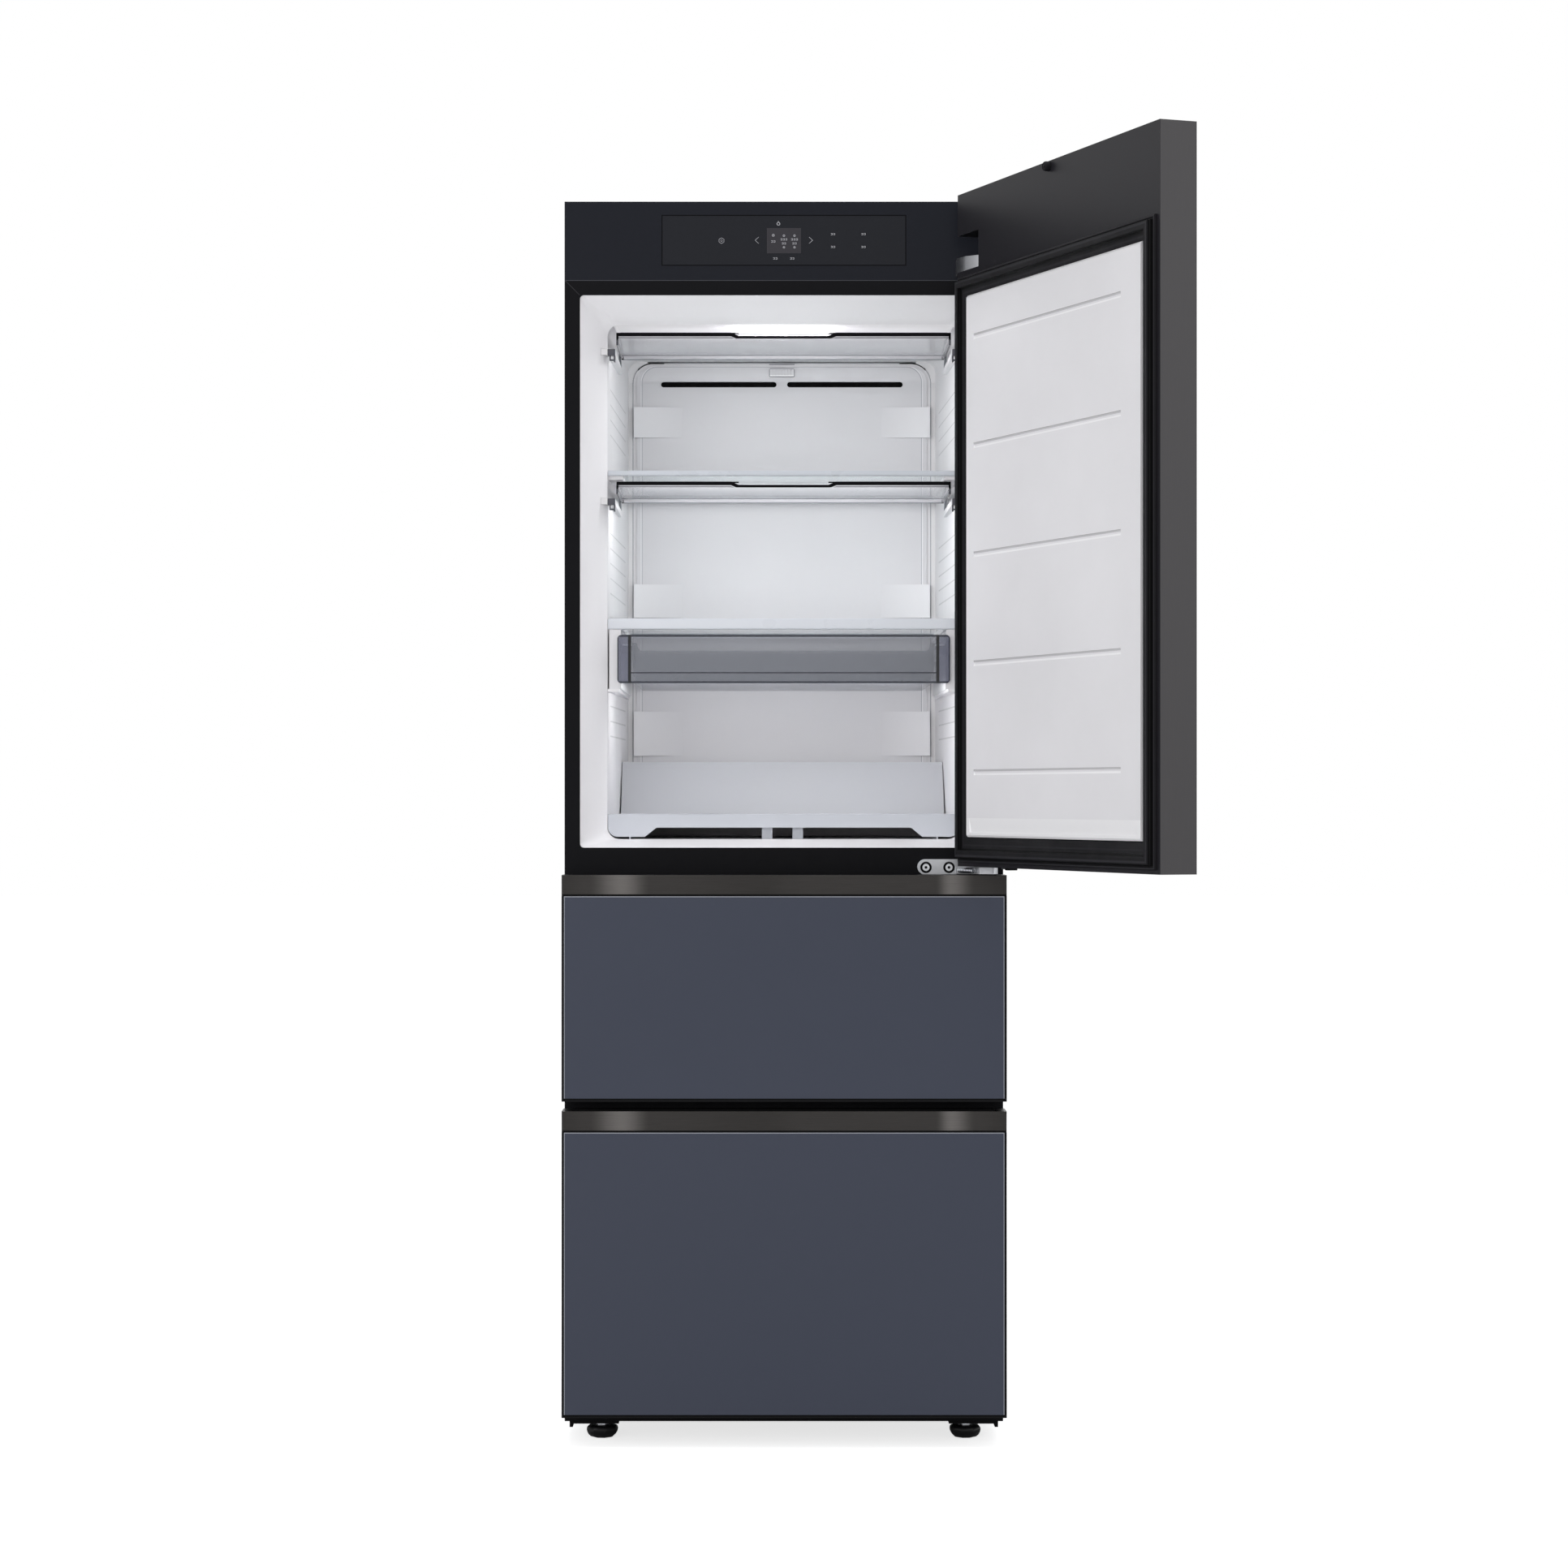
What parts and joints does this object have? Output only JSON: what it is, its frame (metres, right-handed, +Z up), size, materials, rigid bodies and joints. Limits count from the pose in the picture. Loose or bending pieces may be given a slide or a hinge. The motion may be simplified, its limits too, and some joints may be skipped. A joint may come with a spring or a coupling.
{
  "type": "kimchi refrigerator",
  "caption": "Tall free-standing kimchi refrigerator: glass-shelved upper compartment with cold-air guards and a hinged door, over wide insulated drawers with grip strips.",
  "frame": {"origin": "on the floor plane, at the middle of the cabinet's width and of its depth without the fronts", "axes": "+X to the hinge side (the right, seen from the front), +Y to the back, +Z up; the fronts face -Y"},
  "size_m": [0.8718, 1.3429, 1.86],
  "materials": {
    "case_paint": "satin",
    "zinc_steel": "satin",
    "frame_black": "satin",
    "fascia_dark": "satin",
    "display_smoke": "gloss",
    "circuit_green": "matte",
    "liner_white": "satin",
    "foam_cream": "matte",
    "duct_grey": "satin",
    "lamp_white": "satin",
    "aluminium_fin": "satin",
    "tray_silver": "satin",
    "shelf_glass": "gloss",
    "shelf_trim": "satin",
    "clear_smoke": "gloss",
    "clear_plastic": "gloss",
    "runner_grey": "satin",
    "rail_steel": "satin",
    "hinge_steel": "satin",
    "screw_steel": "polished",
    "door_glass": "gloss",
    "shell_graphite": "satin",
    "gasket_black": "matte",
    "grip_bronze": "satin",
    "bin_grey": "satin",
    "compressor_black": "satin",
    "rubber_black": "matte",
    "condenser_black": "matte",
    "fan_black": "matte",
    "fan_grey": "satin",
    "pan_grey": "satin",
    "copper": "satin",
    "box_grey": "matte",
    "foot_black": "satin",
    "roller_grey": "satin"
  },
  "bodies": {
    "cabinet": {"outer_case": "case_paint", "back_panel": "zinc_steel", "base_plate": "zinc_steel", "front_frame": "frame_black", "control_fascia": "fascia_dark", "display_window": "display_smoke", "circuit_boards": "circuit_green", "upper_liner": "liner_white", "drawer_liners": "liner_white", "insulation_foam": "foam_cream", "duct_panel": "duct_grey", "sensor_cover": "duct_grey", "ceiling_lamp": "lamp_white", "evaporator": "aluminium_fin", "evaporator_fan_housing": "duct_grey", "bottom_tray": "tray_silver", "shelf_1_glass": "shelf_glass", "shelf_1_trim": "shelf_trim", "shelf_2_glass": "shelf_glass", "shelf_2_trim": "shelf_trim", "drawer_guides": "liner_white", "cabinet_rails": "rail_steel", "door_hinges": "hinge_steel", "cabinet_screws": "screw_steel", "compressor": "compressor_black", "compressor_mounts": "rubber_black", "condenser": "condenser_black", "condenser_fan_housing": "fan_black", "drain_pan": "pan_grey", "refrigerant_pipes": "copper", "control_box": "box_grey", "machine_cover": "zinc_steel", "power_inlet": "fan_black"},
    "door": {"door_panel": "door_glass", "door_shell": "shell_graphite", "door_foam": "foam_cream", "door_liner": "liner_white", "door_gasket": "gasket_black"},
    "guard_1": {"guard_1": "clear_plastic"},
    "guard_1_runners": {"guard_1_runners": "runner_grey"},
    "guard_2": {"guard_2": "clear_plastic"},
    "guard_2_runners": {"guard_2_runners": "runner_grey"},
    "meat_drawer": {"meat_drawer": "clear_smoke"},
    "upper_drawer": {"upper_drawer_panel": "door_glass", "upper_drawer_grip": "grip_bronze", "upper_drawer_shell": "shell_graphite", "upper_drawer_gasket": "gasket_black", "upper_drawer_bin": "bin_grey"},
    "upper_drawer_rails": {"upper_drawer_rails": "rail_steel"},
    "lower_drawer": {"lower_drawer_panel": "door_glass", "lower_drawer_grip": "grip_bronze", "lower_drawer_shell": "shell_graphite", "lower_drawer_gasket": "gasket_black", "lower_drawer_bin": "bin_grey"},
    "lower_drawer_rails": {"lower_drawer_rails": "rail_steel"},
    "evaporator_fan": {"evaporator_fan": "fan_grey"},
    "condenser_fan": {"condenser_fan": "fan_grey"},
    "front_foot_left": {"front_foot_left": "foot_black"},
    "front_foot_right": {"front_foot_right": "foot_black"},
    "rear_rollers": {"rear_rollers": "roller_grey"}
  },
  "joints": [
    {"name": "door_hinge", "type": "hinge", "parent": "cabinet", "child": "door", "pos_m": [0.3089, -0.3942, 1.36], "axis": [0, 0, 1], "range_deg": [-110.7, 14.3]},
    {"name": "guard_1_slide", "type": "slide", "parent": "cabinet", "child": "guard_1_runners", "axis": [0, 1, 0], "range_m": [-0.233, 0]},
    {"name": "guard_1_tilt", "type": "hinge", "parent": "guard_1_runners", "child": "guard_1", "pos_m": [0, -0.0515, 1.66], "axis": [-1, 0, 0], "range_deg": [-90, 0]},
    {"name": "guard_2_slide", "type": "slide", "parent": "cabinet", "child": "guard_2_runners", "axis": [0, 1, 0], "range_m": [-0.233, 0]},
    {"name": "guard_2_tilt", "type": "hinge", "parent": "guard_2_runners", "child": "guard_2", "pos_m": [0, -0.0515, 1.434], "axis": [-1, 0, 0], "range_deg": [-90, 0]},
    {"name": "meat_drawer_slide", "type": "slide", "parent": "cabinet", "child": "meat_drawer", "axis": [0, -1, 0], "range_m": [0, 0.34]},
    {"name": "upper_drawer_slide", "type": "slide", "parent": "cabinet", "child": "upper_drawer", "axis": [0, -1, 0], "range_m": [0, 0.43]},
    {"name": "upper_rail_slide", "type": "slide", "parent": "cabinet", "child": "upper_drawer_rails", "axis": [0, -1, 0], "range_m": [0, 0.215]},
    {"name": "lower_drawer_slide", "type": "slide", "parent": "cabinet", "child": "lower_drawer", "axis": [0, -1, 0], "range_m": [0, 0.43]},
    {"name": "lower_rail_slide", "type": "slide", "parent": "cabinet", "child": "lower_drawer_rails", "axis": [0, -1, 0], "range_m": [0, 0.215]},
    {"name": "evaporator_fan_spin", "type": "hinge", "parent": "cabinet", "child": "evaporator_fan", "pos_m": [0, 0.2555, 1.5003], "axis": [0, 1, 0], "continuous": true},
    {"name": "condenser_fan_spin", "type": "hinge", "parent": "cabinet", "child": "condenser_fan", "pos_m": [-0.162, 0.2205, 0.13], "axis": [1, 0, 0], "continuous": true},
    {"name": "left_foot_turn", "type": "hinge", "parent": "cabinet", "child": "front_foot_left", "pos_m": [-0.274, -0.2925, 0.02], "axis": [0, 0, 1], "range_deg": [-1080, 1080]},
    {"name": "right_foot_turn", "type": "hinge", "parent": "cabinet", "child": "front_foot_right", "pos_m": [0.274, -0.2925, 0.02], "axis": [0, 0, 1], "range_deg": [-1080, 1080]},
    {"name": "rear_roller_spin", "type": "hinge", "parent": "cabinet", "child": "rear_rollers", "pos_m": [0, 0.2645, 0.014], "axis": [1, 0, 0], "continuous": true}
  ],
  "couplings": [
    {"joint": "guard_1_tilt", "follows": "guard_1_slide", "rad_per_m": 6.7416},
    {"joint": "guard_2_tilt", "follows": "guard_2_slide", "rad_per_m": 6.7416},
    {"joint": "upper_rail_slide", "follows": "upper_drawer_slide", "ratio": 0.5},
    {"joint": "lower_rail_slide", "follows": "lower_drawer_slide", "ratio": 0.5}
  ]
}
